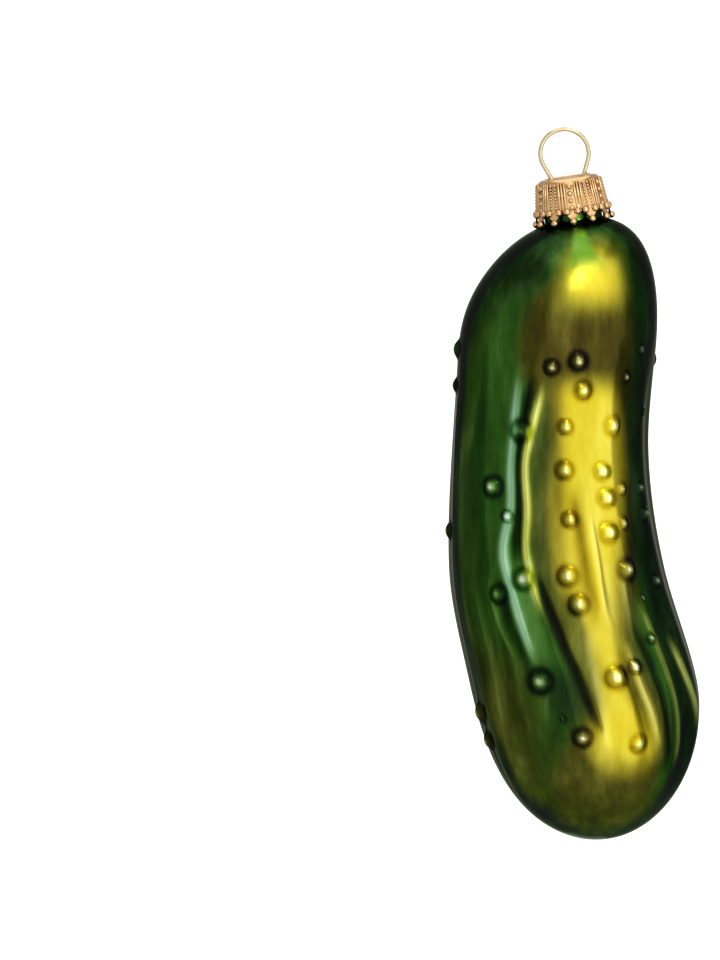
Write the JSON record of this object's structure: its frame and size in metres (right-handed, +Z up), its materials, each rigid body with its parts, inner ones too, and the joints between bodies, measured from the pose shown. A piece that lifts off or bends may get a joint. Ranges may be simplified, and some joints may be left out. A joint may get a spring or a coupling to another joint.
{
  "type": "hanging glass ornament",
  "caption": "Hollow blown-glass pickle ornament with a warted, fluted body, a beaded sheet-metal crown cap and a spring-wire hanging loop.",
  "frame": {"origin": "inside of the wire loop's crown, where a hook bears", "axes": "+Z up as it hangs, front faces -Y, +X to the right seen from the front"},
  "size_m": [0.0398, 0.035, 0.1111],
  "materials": {
    "lacquered_glass": "silvered inside, two-tone transparent lacquer outside, satin",
    "gold_cap": "gold-toned stamped sheet",
    "hanger_wire": "brass-plated spring wire"
  },
  "bodies": {
    "hanger": {"wire_hanger": "hanger_wire"},
    "cap": {"crown_cap": "gold_cap"},
    "pickle": {"glass_pickle": "lacquered_glass"}
  },
  "joints": [
    {"name": "cap_rock", "type": "hinge", "parent": "hanger", "child": "cap", "pos_m": [0.00052, 0, -0.00711], "axis": [0.9903, 0, 0.1392], "range_deg": [-8, 8]},
    {"name": "neck_pull", "type": "slide", "parent": "cap", "child": "pickle", "axis": [0.1392, 0, -0.9903], "range_m": [0, 0.014]}
  ]
}
